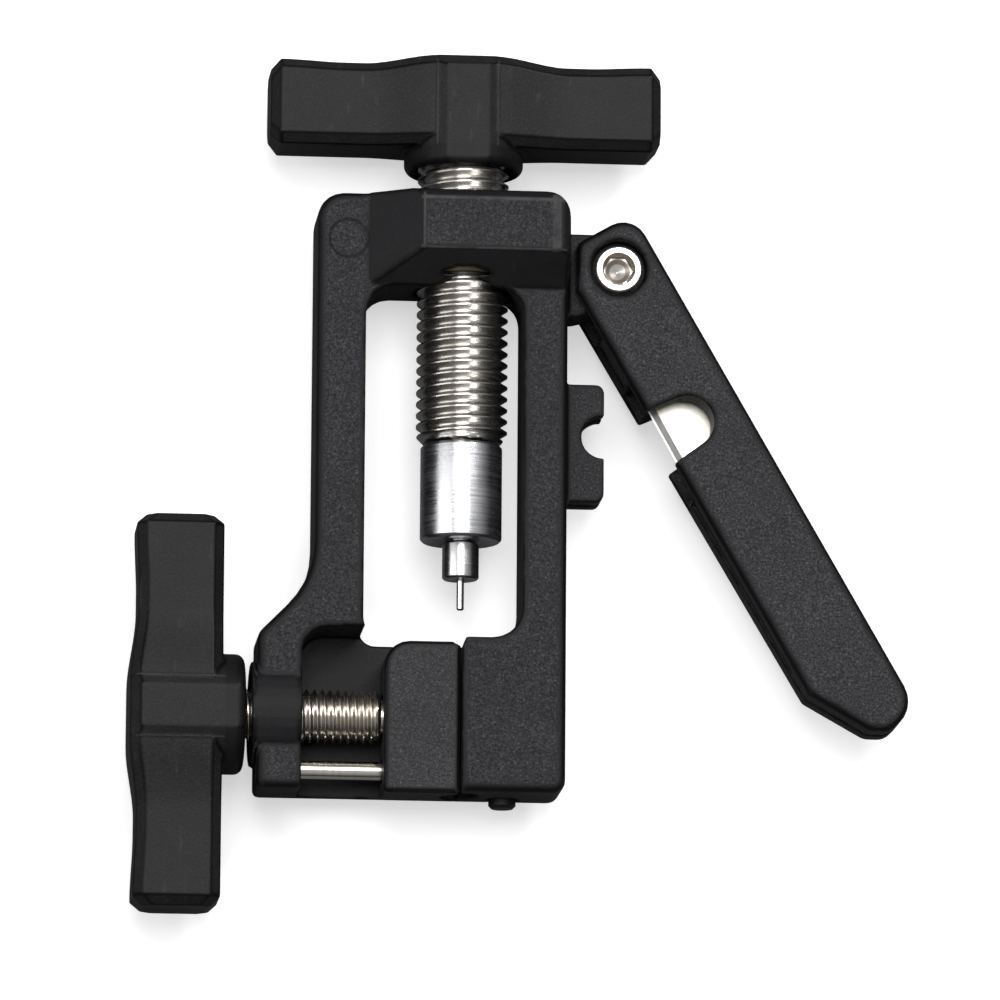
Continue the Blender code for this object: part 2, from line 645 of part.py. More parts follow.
def pivot_screw(pivot):
    """The hinge bolt, with a hexagon socket in its sunk head."""
    top = ARM_HALF_PIVOT - PIVOT_HEAD_SINK
    head, shank = PIVOT_HEAD_RADIUS, PIVOT_RADIUS
    shoulder, end = -PIVOT_HEAD_LOW + GAP, -PIVOT_HEAD_LOW - 0.9
    profile = [(0, end), (PIVOT_THREAD, end), (PIVOT_THREAD, shoulder), (shank, shoulder),
               (shank, PIVOT_HEAD_LOW), (head, PIVOT_HEAD_LOW), (head, top - 0.2), (head - 0.2, top),
               (0, top)]
    bolt = turned("pivot_screw", pivot, profile, "Z", finish=STEEL, sides=24)
    socket = circle(SOCKET_FLATS / sqrt(3), 6)
    floor = top - SOCKET_DEPTH
    cone = [(0, floor - 0.8), (1.7, floor), (1.7, top - 1.0), (2.15, top - 0.25), (2.15, top + PAST),
            (0, top + PAST)]
    mouth = turned("socket_mouth", pivot, cone, "Z", sides=24)
    cut(bolt, prism("socket", pivot, socket, floor, top + PAST), mouth)


def pivot_nut(pivot):
    """The hexagon nut in the rear half's round seat."""
    low, high = -ARM_HALF_PIVOT + GAP, -PIVOT_HEAD_LOW
    nut = prism("pivot_nut", pivot, circle(NUT_RADIUS, 6), low, high, finish=STEEL)
    cut(nut, rod("nut_bore", pivot, NUT_BORE, low - PAST, high + PAST, "Z", sides=SMALL_SIDES))


def arm_screw(number, pivot, centre):
    """One of the screws that clamp the halves together, put in from the back."""
    radius, height = ARM_SCREW_HEAD
    seat = -ARM_HALF_PIVOT * arm_thickness(centre[0]) + ARM_SCREW_SEAT[1] - GAP
    face = seat - height
    shank_end, tip = ARM_SCREW_TIP
    shank = ARM_SCREW_RADIUS
    profile = [(0, face), (radius - 0.4, face), (radius, face + 0.4), (radius, seat), (shank, seat),
               (shank, shank_end), (0, tip)]
    screw = turned(f"arm_screw_{number}", pivot, profile, "Z", centre, STEEL, SMALL_SIDES)
    socket = circle(ARM_SCREW_SOCKET, 6, centre)
    cut(screw, prism(f"arm_screw_{number}_socket", pivot, socket, face - PAST, seat - 0.2))


def build_arm(tool):
    pivot = datum("arm_pivot", tool, (*PIVOT, 0), radians(ARM_OPEN - 90))
    arm_half("arm_front", pivot, 1)
    arm_half("arm_rear", pivot, -1)
    blade(pivot)
    pivot_screw(pivot)
    pivot_nut(pivot)
    for number, centre in enumerate(ARM_SCREWS, 1):
        arm_screw(number, pivot, centre)


def main():
    for obj in list(bpy.data.objects):
        bpy.data.objects.remove(obj, do_unlink=True)
    tool = datum("tool", None, (0, -REST_Y, BOSS_HALF))
    build_frame(tool)
    block_screw(tool)
    build_driver(tool)
    build_clamp(tool)
    build_arm(tool)


main()
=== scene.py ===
"""Looks of the brake-hose tool: moulded skins, cut threads, turned steel and a soft studio."""

from math import cos, pi, radians, sin, sqrt

import bmesh
import bpy
import numpy as np
from mathutils import Matrix, Vector


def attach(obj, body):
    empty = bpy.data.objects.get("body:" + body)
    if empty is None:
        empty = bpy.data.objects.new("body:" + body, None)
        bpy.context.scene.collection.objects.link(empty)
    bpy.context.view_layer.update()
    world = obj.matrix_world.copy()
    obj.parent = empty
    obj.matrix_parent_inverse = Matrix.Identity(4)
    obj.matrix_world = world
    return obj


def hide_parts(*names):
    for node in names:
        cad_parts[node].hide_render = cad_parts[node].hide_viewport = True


MM = 0.001
REST_Y = 75.0  # the frame's origin stands this far up the tool from its bottom edge
MID = 9.8  # the height of the screws' axes over the floor

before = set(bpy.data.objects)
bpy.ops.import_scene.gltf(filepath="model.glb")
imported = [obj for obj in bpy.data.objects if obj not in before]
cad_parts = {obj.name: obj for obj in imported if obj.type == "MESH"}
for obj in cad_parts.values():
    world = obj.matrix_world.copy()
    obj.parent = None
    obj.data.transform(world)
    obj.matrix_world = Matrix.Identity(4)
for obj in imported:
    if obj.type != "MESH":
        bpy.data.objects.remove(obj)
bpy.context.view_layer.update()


# Meshes ------------------------------------------------------------------------------------


def made(name, mesh):
    obj = bpy.data.objects.new(name, mesh)
    bpy.context.scene.collection.objects.link(obj)
    return obj


def mesh_from(name, points, faces):
    mesh = bpy.data.meshes.new(name)
    mesh.from_pydata([tuple(p) for p in points], [], faces)
    mesh.validate()
    shape = bmesh.new()
    shape.from_mesh(mesh)
    bmesh.ops.recalc_face_normals(shape, faces=shape.faces)
    shape.to_mesh(mesh)
    shape.free()
    return mesh


def baked(obj, name):
    """The object's evaluated mesh as a mesh of its own; the object is removed."""
    graph = bpy.context.evaluated_depsgraph_get()
    mesh = bpy.data.meshes.new_from_object(obj.evaluated_get(graph))
    mesh.name = name
    bpy.data.objects.remove(obj, do_unlink=True)
    return mesh


def cad_mesh(node):
    """A welded copy of a CAD node's mesh, in millimetres."""
    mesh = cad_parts[node].data.copy()
    mesh.transform(Matrix.Scale(1 / MM, 4))
    shape = bmesh.new()
    shape.from_mesh(mesh)
    bmesh.ops.remove_doubles(shape, verts=shape.verts, dist=0.002)
    shape.to_mesh(mesh)
    shape.free()
    mesh.materials.clear()
    return mesh


def moulded(mesh, voxel, rounds):
    """The mesh remade as one even skin, with every edge run over into a fillet."""
    obj = made("work", mesh)
    remesh = obj.modifiers.new("skin", "REMESH")
    remesh.mode = "VOXEL"
    remesh.voxel_size = voxel
    remesh.use_smooth_shade = True
    soften = obj.modifiers.new("soften", "SMOOTH")
    soften.factor = 0.5
    soften.iterations = rounds
    return baked(obj, "skin")


def bend(mesh, spread, scale):
    """Writes how far each point stands proud of its surroundings, as the attribute 'worn', which the
    plastics use for edge wear and for painted shade on fillets.
    """
    count = len(mesh.vertices)
    points = np.empty(count * 3, np.float32)
    mesh.vertices.foreach_get("co", points)
    points = points.reshape(-1, 3).astype(float)
    normals = np.empty(count * 3, np.float32)
    mesh.vertex_normals.foreach_get("vector", normals)
    normals = normals.reshape(-1, 3)
    ends = np.empty(len(mesh.edges) * 2, np.int32)
    mesh.edges.foreach_get("vertices", ends)
    ends = ends.reshape(-1, 2)
    links = np.bincount(ends.ravel(), minlength=count).clip(1)

    def around(values):
        out = np.zeros_like(values)
        if values.ndim == 1:
            out += np.bincount(ends[:, 0], values[ends[:, 1]], count)
            out += np.bincount(ends[:, 1], values[ends[:, 0]], count)
            return out / links
        for axis in range(3):
            out[:, axis] = around(values[:, axis])
        return out

    away = points - around(points)
    proud = (away * normals).sum(1) / scale
    for _ in range(spread):
        proud = around(proud)
    layer = mesh.attributes.new("wear_and_shade", "FLOAT", "POINT")
    layer.data.foreach_set("value", np.clip(proud, -1, 1).astype(np.float32))


def softened(profile, radius, steps=4):
    """The profile with each of its inner corners turned into a short arc."""
    out = [profile[0]]
    for i in range(1, len(profile) - 1):
        corner = Vector(profile[i])
        back = Vector(profile[i - 1]) - corner
        ahead = Vector(profile[i + 1]) - corner
        reach = min(radius, back.length * 0.4, ahead.length * 0.4)
        a, b = corner + back.normalized() * reach, corner + ahead.normalized() * reach
        for step in range(steps + 1):
            t = step / steps
            out.append(tuple(a * (1 - t) ** 2 + corner * 2 * t * (1 - t) + b * t * t))
    out.append(profile[-1])
    return out


def lathe(name, profile, place, sides=96, radius=0.12, ring=False):
    """Turns the (radius, height) profile about local Y, then places it. A ring's profile is closed."""
    profile = softened(profile, radius)
    turns = np.linspace(0, 2 * pi, sides, endpoint=False)
    points, rows = [], []
    for r, h in profile:
        if r < 1e-6:
            rows.append([len(points)] * sides)
            points.append((0, h, 0))
            continue
        rows.append(list(range(len(points), len(points) + sides)))
        points += [(r * cos(t), h, r * sin(t)) for t in turns]
    faces = []
    pairs = list(zip(rows, rows[1:])) + ([(rows[-1], rows[0])] if ring else [])
    for low, high in pairs:
        for i in range(sides):
            corners = [low[i - 1], low[i], high[i], high[i - 1]]
            corners = [c for k, c in enumerate(corners) if c != corners[k - 1]]
            if len(corners) > 2:
                faces.append(corners)
    mesh = mesh_from(name, points, faces)
    mesh.transform(place)
    return mesh


def thread(name, radius, depth, pitch, low, high, place, sides=96):
    """A rod with a right-hand thread along local Y, whose rows of points follow the helix."""
    crest, flank = 0.06, 0.38  # shares of the pitch
    half = [0.0, 0.06, 0.14, 0.22, 0.30, 0.38, 0.44, 0.47]
    phases = half + [0.5] + [1 - p for p in reversed(half[1:])]
    end = radius - depth
    points, rows = [], []
    turns_along = int((high - low) / pitch) + 4
    for turn in range(turns_along):
        for phase in phases:
            away = min(phase, 1 - phase)
            drop = min(max((away - crest) / flank, 0.0), 1.0)
            ridge = radius - depth * (drop if drop < 0.92 else 0.92 + (drop - 0.92) * 0.6)
            row = []
            for i in range(sides):
                t = 2 * pi * i / sides
                h = low + (turn + phase - 1 - t / (2 * pi)) * pitch
                short = max(low - h, h - high, 0.0) / pitch
                edge = min(max(h, low), high)
                chamfered = min(ridge, end + min(edge - low, high - edge))
                r = chamfered if short == 0 else end * max(1 - short, 0.0)
                row.append(len(points))
                points.append((r * cos(t), edge, r * sin(t)))
            rows.append(row)
    faces = []
    step = len(phases)
    for k in range(len(rows) - 1):
        faces += [(rows[k][i], rows[k][i + 1], rows[k + 1][i + 1], rows[k + 1][i]) for i in range(sides - 1)]
        if k >= step:
            turn_before = (rows[k - step][0], rows[k + 1 - step][0])
            faces.append((rows[k][sides - 1], *turn_before, rows[k + 1][sides - 1]))
    mesh = bpy.data.meshes.new(name)
    mesh.from_pydata(points, [], faces)
    shape = bmesh.new()
    shape.from_mesh(mesh)
    bmesh.ops.remove_doubles(shape, verts=shape.verts, dist=1e-4)
    bmesh.ops.recalc_face_normals(shape, faces=shape.faces)
    shape.to_mesh(mesh)
    shape.free()
    mesh.transform(place)
    return mesh


def sharpened(mesh, angle=35):
    mesh.shade_smooth()
    mesh.set_sharp_from_angle(angle=radians(angle))


def piece(name, mesh, body, nodes, finish, sharp=None):
    """Turns a mesh in millimetres into a piece that rides on a body and stands for CAD nodes."""
    mesh.transform(Matrix.Scale(MM, 4))
    if sharp:
        sharpened(mesh, sharp)
    else:
        mesh.shade_smooth()
    mesh.name = name
    obj = made(name, mesh)
    mesh.materials.clear()
    mesh.materials.append(finish)
    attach(obj, body)
    if nodes:
        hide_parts(*nodes)
    return obj


def cut_by(mesh, *cutters):
    """The mesh less the closed cutters."""
    obj = made("work", mesh)
    others = []
    for cutter in cutters:
        other = made("cutter", cutter)
        others.append(other)
        modifier = obj.modifiers.new("cut", "BOOLEAN")
        modifier.operation = "DIFFERENCE"
        modifier.solver = "EXACT"
        modifier.object = other
    result = baked(obj, "cut")
    for other in others:
        bpy.data.objects.remove(other, do_unlink=True)
    return result


def joined(*meshes):
    shape = bmesh.new()
    for mesh in meshes:
        shape.from_mesh(mesh)
    result = bpy.data.meshes.new("joined")
    shape.to_mesh(result)
    shape.free()
    return result


# Places ------------------------------------------------------------------------------------

TOOL = Matrix.Translation((0, -REST_Y, MID))
PRESS = TOOL
CLAMP = TOOL @ Matrix.Translation((0, 10.2, 0)) @ Matrix.Rotation(radians(-90), 4, "Z")
ARM_PIVOT = TOOL @ Matrix.Translation((20.1, 69.5, 0)) @ Matrix.Rotation(radians(30.3 - 90), 4, "Z")


# Materials ---------------------------------------------------------------------------------


class Nodes:
    """A material under construction: makes nodes and joins them."""

    def __init__(self, name):
        self.material = bpy.data.materials.new(name)
        self.material.use_nodes = True
        self.tree = self.material.node_tree
        self.shader = self.tree.nodes["Principled BSDF"]
        self.coordinates = self.tree.nodes.new("ShaderNodeTexCoord").outputs["Object"]

    def put(self, socket, value):
        if isinstance(value, bpy.types.NodeSocket):
            self.tree.links.new(value, socket)
        else:
            socket.default_value = value

    def node(self, kind, output=0, settings=None, **inputs):
        made_node = self.tree.nodes.new("ShaderNode" + kind)
        for key, value in (settings or {}).items():
            setattr(made_node, key, value)
        for key, value in inputs.items():
            key = int(key[1:]) if key[0] == "i" and key[1:].isdigit() else key.replace("_", " ")
            self.put(made_node.inputs[key], value)
        return made_node.outputs[output]

    def math(self, operation, a, b=0.0, c=0.0):
        return self.node("Math", settings={"operation": operation}, i0=a, i1=b, i2=c)

    def noise(self, scale, detail=2.0, roughness=0.5, stretch=None, output=0):
        where = self.coordinates
        if stretch:
            where = self.node("Mapping", i0=where, Scale=stretch)
        return self.node("TexNoise", output, Vector=where, Scale=scale, Detail=detail, Roughness=roughness)

    def remap(self, value, low, high, to_low=0.0, to_high=1.0):
        return self.node("MapRange", i0=value, i1=low, i2=high, i3=to_low, i4=to_high)

    def mix(self, factor, a, b):
        out = self.tree.nodes.new("ShaderNodeMix")
        out.data_type = "RGBA"
        self.put(out.inputs["Factor"], factor)
        self.put(out.inputs["A"], a if isinstance(a, bpy.types.NodeSocket) else (*a, 1))
        self.put(out.inputs["B"], b if isinstance(b, bpy.types.NodeSocket) else (*b, 1))
        return out.outputs["Result"]

    def bump(self, height, strength, distance, normal=None):
        inputs = {"Strength": strength, "Distance": distance, "Height": height}
        if normal is not None:
            inputs["Normal"] = normal
        return self.node("Bump", **inputs)

    def set(self, **inputs):
        for key, value in inputs.items():
            if isinstance(value, tuple) and len(value) == 3:
                value = (*value, 1)
            self.put(self.shader.inputs[key.replace("_", " ")], value)
        return self.material


def plastic(name, flat, fillet, rough, grain, fleck, shine, rubbed=0.35, rings=()):
    """Moulded plastic: spark-eroded grain on the flats, smoother where it bends and painted darker there as
    shade; fillet is the near-black colour of that painted shade.
    """
    n = Nodes(name)
    wear_and_shade = n.node("Attribute", "Fac", {"attribute_name": "wear_and_shade"})
    smooth_and_shaded = n.node("Attribute", "Fac", {"attribute_name": "smooth_and_shaded"})
    line = n.node("Attribute", "Fac", {"attribute_name": "line"})
    turned_edge = n.remap(n.math("ABSOLUTE", wear_and_shade), 0.05, 0.30)
    proud = n.remap(wear_and_shade, 0.35, 0.95)
    cells = n.noise(3600, 3.0, 0.65)
    pits = n.node("TexVoronoi", "Distance", Vector=n.coordinates, Scale=3400.0)
    clouds = n.noise(90, 4.0, 0.6)
    patches = n.noise(420, 3.0, 0.6)
    scuffs = n.noise(900, 3.0, 0.65, stretch=(1.0, 0.12, 0.3))
    tone = n.mix(n.remap(clouds, 0.34, 0.66), tuple(c * 0.78 for c in flat), tuple(c * 1.22 for c in flat))
    tone = n.mix(n.remap(patches, 0.35, 0.75, 0.0, 0.5), tone, tuple(c * 1.35 for c in flat))
    fleck = n.math("MULTIPLY", n.math("SUBTRACT", 1.0, n.math("MULTIPLY", smooth_and_shaded, 0.75)), fleck)
    dark = n.math("MULTIPLY", n.remap(cells, 0.52, 0.36), fleck)
    tone = n.mix(dark, tone, tuple(c * 0.25 for c in flat))
    spark = n.math("MULTIPLY", n.remap(cells, 0.54, 0.70), n.remap(pits, 0.15, 0.5, 1.0, 0.3))
    tone = n.mix(n.math("MULTIPLY", spark, fleck), tone, tuple(c * 5.0 for c in flat))
    scuff = n.math("MULTIPLY", n.remap(scuffs, 0.60, 0.72), n.remap(patches, 0.42, 0.60, 0.0, rubbed))
    tone = n.mix(scuff, tone, (0.07, 0.07, 0.072))
    # Painted shade: the marked ramps, bores, web and hub rim are darkened towards the fillet colour.
    tone = n.mix(n.math("MULTIPLY", smooth_and_shaded, 0.62), tone, fillet)
    # Painted shade: every fillet, convex or hollow, is darkened towards the fillet colour.
    tone = n.mix(turned_edge, tone, fillet)
    # A faint lighter line, patchy along its length, where the line attribute marks it.
    lighter_line = n.math("MULTIPLY", line, n.remap(patches, 0.3, 0.6, 0.25, 0.8))
    tone = n.mix(lighter_line, tone, (0.060, 0.060, 0.062))
    rubbed_edge = n.math("MULTIPLY", proud, n.remap(patches, 0.45, 0.6, 0.0, 0.25))
    tone = n.mix(rubbed_edge, tone, (0.08, 0.08, 0.082))
    height = n.math("ADD", cells, n.math("MULTIPLY", pits, 0.5))
    depth = n.remap(n.math("MAXIMUM", turned_edge, smooth_and_shaded), 0.0, 1.0, grain, grain * 0.3)
    normal = n.bump(height, depth, 0.00012)
    for x, y, radius in rings:
        centre = (x * MM, (y - REST_Y) * MM, 0.0)
        flattened = n.node("VectorMath", settings={"operation": "MULTIPLY"}, i0=n.coordinates, i1=(1, 1, 0))
        away = n.node("VectorMath", "Value", {"operation": "DISTANCE"}, i0=flattened, i1=centre)
        line = n.remap(n.math("ABSOLUTE", n.math("SUBTRACT", away, radius * MM)), 0.00008, 0.0003, 1.0, 0.0)
        tone = n.mix(n.math("MULTIPLY", line, 0.8), tone, fillet)
        normal = n.bump(n.math("SUBTRACT", 1.0, line), 0.6, 0.0001, normal)
    cloudy = n.remap(clouds, 0.3, 0.7, rough - 0.04, rough + 0.05)
    gloss = n.math("ADD", cloudy, n.remap(scuff, 0, 1, 0, 0.1))
    gloss = n.math("SUBTRACT", gloss, n.math("MULTIPLY", turned_edge, 0.10))
    n.shader.inputs["Specular IOR Level"].default_value = shine
    return n.set(Base_Color=tone, Roughness=gloss, Normal=normal)


def metal(name, colour, rough, along, lines=26000.0, depth=0.25, stain=None, stain_share=0.35):
    """Bright metal with turning lines across the given axis, faint stains and small nicks."""
    n = Nodes(name)
    stretch = [0.02, 0.02, 0.02]
    stretch["XYZ".index(along)] = 1.0
    turning = n.noise(lines, 2.0, 0.6, stretch=tuple(stretch))
    broad = n.noise(lines * 0.12, 3.0, 0.6, stretch=tuple(stretch))
    blotches = n.noise(260, 4.0, 0.6)
    specks = n.noise(3400, 2.0, 0.5)
    dull = tuple(c * 0.92 for c in colour)
    bright = tuple(min(c * 1.05, 1) for c in colour)
    tone = n.mix(n.remap(broad, 0.3, 0.7), dull, bright)
    if stain:
        tone = n.mix(n.remap(blotches, 0.42, 0.72, 0.0, stain_share), tone, stain)
    tone = n.mix(n.remap(specks, 0.68, 0.78, 0.0, 0.45), tone, tuple(c * 0.45 for c in colour))
    turned = n.remap(broad, 0.3, 0.7, rough * 0.75, rough * 1.3)
    gloss = n.math("ADD", turned, n.remap(blotches, 0.4, 0.7, 0.0, 0.07))
    height = n.math("ADD", turning, n.math("MULTIPLY", broad, 0.8))
    normal = n.bump(height, depth, 0.00002)
    n.shader.inputs["Metallic"].default_value = 1.0
    return n.set(Base_Color=tone, Roughness=gloss, Normal=normal)


# The blade's edge from tip to heel, in the arm's own directions, and the widths of its two bands, painted as
# shade and as highlight.
BLADE_EDGE = ((54.0, -5.95), (12.0, -5.05))
BLADE_BEVEL = 1.03
BLADE_HONED = 0.24


def blade_metal(name):
    """Ground blade stock, with long grinding lines, a band of painted shade on the ground facet and a
    painted highlight band at the edge.
    """
    n = Nodes(name)
    grind = n.noise(9000, 2.0, 0.6, stretch=(0.35, 1.0, 1.0))
    blotches = n.noise(300, 3.0, 0.6)
    tone = n.mix(n.remap(blotches, 0.35, 0.7), (0.66, 0.63, 0.56), (0.78, 0.76, 0.70))
    tone = n.mix(n.remap(grind, 0.35, 0.7, 0.0, 0.3), tone, (0.50, 0.48, 0.43))
    tip, heel = (ARM_PIVOT @ Vector((*end, 0)) for end in BLADE_EDGE)
    across = Vector((0, 0, 1)).cross(tip - heel).normalized()
    start = heel * MM
    offset = n.node("VectorMath", settings={"operation": "SUBTRACT"}, i0=n.coordinates, i1=start)
    from_edge = n.node("VectorMath", "Value", {"operation": "DOT_PRODUCT"}, i0=offset, i1=across)
    bevel_shade = n.remap(from_edge, BLADE_BEVEL * MM, (BLADE_BEVEL - 0.08) * MM)
    honed_highlight = n.remap(from_edge, BLADE_HONED * MM, (BLADE_HONED - 0.08) * MM)
    # Painted shade on the ground facet, then a painted highlight along the edge.
    tone = n.mix(bevel_shade, tone, (0.17, 0.165, 0.155))
    tone = n.mix(honed_highlight, tone, (0.85, 0.85, 0.84))
    n.shader.inputs["Metallic"].default_value = 1.0
    return n.set(
        Base_Color=tone,
        Roughness=n.remap(blotches, 0.3, 0.7, 0.26, 0.40),
        Normal=n.bump(grind, 0.2, 0.00002),
    )


FLAT = (0.0250, 0.0246, 0.0278)
# Near-black painted shade for the fillets, ramps and recesses of the plastics.
FILLET_SHADE = (0.0022, 0.0022, 0.0025)
frame_plastic = plastic("frame_plastic", FLAT, FILLET_SHADE, 0.58, 1.0, 0.95, 0.20, rings=((-15.4, 72.8, 2.5),))
arm_plastic = plastic("arm_plastic", (0.0325, 0.0320, 0.0362), FILLET_SHADE, 0.58, 1.0, 0.95, 0.20)
jaw_plastic = plastic("jaw_plastic", (0.0315, 0.0310, 0.0340), FILLET_SHADE, 0.54, 0.7, 0.8, 0.20)
handle_plastic = plastic("handle_plastic", (0.0128, 0.0127, 0.0138), FILLET_SHADE, 0.50, 0.35, 0.4, 0.18, 0.4)
thread_y = metal("press_thread", (0.56, 0.545, 0.525), 0.20, "Y", depth=0.03, stain=(0.34, 0.29, 0.23))
thread_x = metal("clamp_thread", (0.62, 0.585, 0.53), 0.22, "X", depth=0.03, stain=(0.38, 0.31, 0.24))
barrel_steel = metal("barrel_steel", (0.66, 0.665, 0.685), 0.25, "Y", depth=0.14)
holder_steel = metal("holder_steel", (0.60, 0.60, 0.61), 0.20, "Y", depth=0.35)
needle_steel = metal("needle_steel", (0.75, 0.75, 0.76), 0.14, "Y", depth=0.2)
pin_steel = metal("pin_steel", (0.80, 0.76, 0.70), 0.13, "X", depth=0.15, stain=(0.55, 0.46, 0.34))
screw_steel = metal("hardware_steel", (0.80, 0.79, 0.76), 0.30, "Z", depth=0.2)
# Darker steel for the socket of the pivot screw: painted shade in the recess, with a brownish stain.
shaded_socket_steel = metal("shaded_socket_steel", (0.40, 0.35, 0.30), 0.34, "Z", depth=0.2, stain=(0.25, 0.20, 0.16))
brass = metal("bush_brass", (0.045, 0.038, 0.026), 0.50, "Y", stain=(0.02, 0.018, 0.013), stain_share=0.6)
black_oxide = metal("black_oxide", (0.05, 0.05, 0.05), 0.42, "Y", depth=0.3)
blade_steel = blade_metal("blade_steel")


# Moulded pieces ----------------------------------------------------------------------------


def paint(mesh, masks):
    """Writes the 'calm' and 'line' attributes from a function of the tool's own datum; 'calm' marks smoother
    places that are also painted darker as shade.
    """
    count = len(mesh.vertices)
    points = np.empty(count * 3, np.float32)
    mesh.vertices.foreach_get("co", points)
    x, y, z = points.reshape(-1, 3).T
    normals = np.empty(count * 3, np.float32)
    mesh.vertex_normals.foreach_get("vector", normals)
    smooth_and_shaded, line = masks(x, y + REST_Y, z - MID, normals.reshape(-1, 3)[:, 2])
    for name, values in (("smooth_and_shaded", smooth_and_shaded), ("line", line)):
        layer = mesh.attributes.new(name, "FLOAT", "POINT")
        layer.data.foreach_set("value", values.astype(np.float32))


def skin(
    node, body, finish, voxel, rounds, spread=2, scale=0.022, shape=None, masks=None, cutters=()
):
    """A CAD node remade as a moulded skin, after any cutters and before any reshaping and masks."""
    mesh = cad_mesh(node)
    if cutters:
        mesh = cut_by(mesh, *cutters)
    mesh = moulded(mesh, voxel, rounds)
    if shape:
        shape(mesh)
    if masks:
        paint(mesh, masks)
    bend(mesh, spread, scale)
    return piece(node + "_skin", mesh, body, [node], finish)


def roll_boss(mesh):
    """Rolls the boss's right and top edges over, front and back, to the larger radius that they have."""
    radius, right, top, level = 1.5, 13.5, 79.0 - REST_Y, 9.8
    for vertex in mesh.vertices:
        x, y, z = vertex.co.x, vertex.co.y, vertex.co.z - MID
        if y < 65.0 - REST_Y or abs(z) < level - radius or x < -13 or x > 14.5:
            continue
        side = 1 if z > 0 else -1
        over_x = max(x - (right - radius), 0.0)
        over_y = max(y - (top - radius), 0.0)
        over_z = abs(z) - (level - radius)
        reach = sqrt(over_x**2 + over_y**2 + over_z**2)
        if reach > radius and (over_x or over_y):
            keep = radius / reach
            vertex.co.x -= over_x * (1 - keep)
            vertex.co.y -= over_y * (1 - keep)
            vertex.co.z = MID + side * (level - radius + over_z * keep)


def frame_masks(x, y, z, up):
    """Where the frame is smoother than the grained flats and painted darker as shade (ramps, round boss,
    web, bore), and where its boss's face has a faint lighter outline.
    """
    on_boss = (y > 65.8) & (x > -13.5) & (x < 14) & (np.abs(z) > 3.5)
    ramp = on_boss & (np.abs(up) < 0.93)
    across = np.hypot(y - 10.2, z)
    round_boss = (x < -20.3) & (across > 6.3) & (across < 7.3) & (np.abs(z) > 5.2)
    web = (x > -21) & (x < -0.5) & (y > 0.3) & (y < 21.5) & (z < -3.2) & (z > -4.4)
    bore = (np.hypot(x, z) < 7.0) & (y > 65)
    face = (np.abs(z) > 9.5) & (y > 70)
    rim = np.minimum.reduce([np.abs(x + 5.8), np.abs(y - 71.0), np.abs(y - 77.6)])
    outline = face & ((rim < 0.16) | ((x > 11.0) & (x < 12.1)))
    return (ramp | round_boss | web | bore).astype(float), outline.astype(float)


skin("frame", "frame_group", frame_plastic, 0.22, 7, shape=roll_boss, masks=frame_masks)


def blade_relief():
    """The wedge cut from the front arm along the blade, so that the blade's edge shows in the slit."""
    ends = ((25.0, -5.0), (57.0, -5.75))
    points = []
    for u, edge in ends:
        outline = ((-9.0, 0.0), (edge, 0.0), (edge, 1.2), (edge - 0.9, 2.0), (-9.0, 2.0))
        points += [(u, v, z) for v, z in outline]
    sides = [(i, (i + 1) % 5, 5 + (i + 1) % 5, 5 + i) for i in range(5)]
    mesh = mesh_from("relief", points, [(0, 1, 2, 3, 4), (5, 6, 7, 8, 9)] + sides)
    mesh.transform(ARM_PIVOT)
    return mesh


skin("arm_front", "arm", arm_plastic, 0.2, 7, cutters=[blade_relief()])
skin("arm_rear", "arm", arm_plastic, 0.2, 7)
skin("clamp_jaw", "jaw", jaw_plastic, 0.17, 5)


# Handles -----------------------------------------------------------------------------------


def eased(value, start, end):
    t = min(max((value - start) / (end - start), 0.0), 1.0)
    return t * t * (3 - 2 * t)


def wing_section(x):
    """The wing's cross-section at x: it falls away in a hollow curve from the centre block."""
    away = abs(x)
    outer = 14.0 + 1.0 * (1 - eased(away, 3.8, 13.5)) + 0.3 * eased(away, 16.0, 24.0)
    half = 5.2 + 1.7 * (1 - eased(away, 2.5, 13.6)) + (0.10 if away < 4.0 else 0.0)
    chamfer, low = 1.3, 2.9
    trim = max(away - 24.45, 0.0)
    low, outer, half = low + trim, outer - trim, half - trim
    corners = [
        (low, half - chamfer),
        (low + chamfer, half),
        (outer - chamfer, half),
        (outer, half - chamfer),
    ]
    corners += [(a, -z) for a, z in reversed(corners)]
    return corners


def wing_mesh():
    steps = [-24.45, -4.0, -3.99, 3.99, 4.0, 24.45]
    even = np.arange(-25.75, 25.8, 0.5)
    stations = sorted(set(np.round(np.concatenate([even, steps]), 3)))
    points, faces = [], []
    for x in stations:
        points += [(x, a, z) for a, z in wing_section(x)]
    for row in range(len(stations) - 1):
        for i in range(8):
            a, b = row * 8 + i, row * 8 + (i + 1) % 8
            faces.append((a, b, b + 8, a + 8))
    faces.append(list(range(8)))
    faces.append(list(range(len(points) - 8, len(points))))
    return mesh_from("wing", points, faces)


def hub_mesh():
    """The round hub, flattened front and back, with a rolled rim and a straight flank to the wing."""
    sides, radius, flat, rim = 120, 7.85, 7.35, 1.2
    rows = [(rim - rim * sin(t), rim - rim * cos(t)) for t in np.linspace(0, pi / 2, 9)] + [(0.0, 13.6)]
    points, faces = [], []
    for inset, height in rows:
        for i in range(sides):
            t = 2 * pi * i / sides
            x, z = radius * cos(t), min(max(radius * sin(t), -flat), flat)
            shrink = (radius - inset) / radius
            points.append((x * shrink, height, z * shrink))
    for row in range(len(rows) - 1):
        for i in range(sides):
            a, b = row * sides + i, row * sides + (i + 1) % sides
            faces.append((a, b, b + sides, a + sides))
    faces.append(list(range(sides)))
    faces.append(list(range(len(points) - sides, len(points))))
    return mesh_from("hub", points, faces)


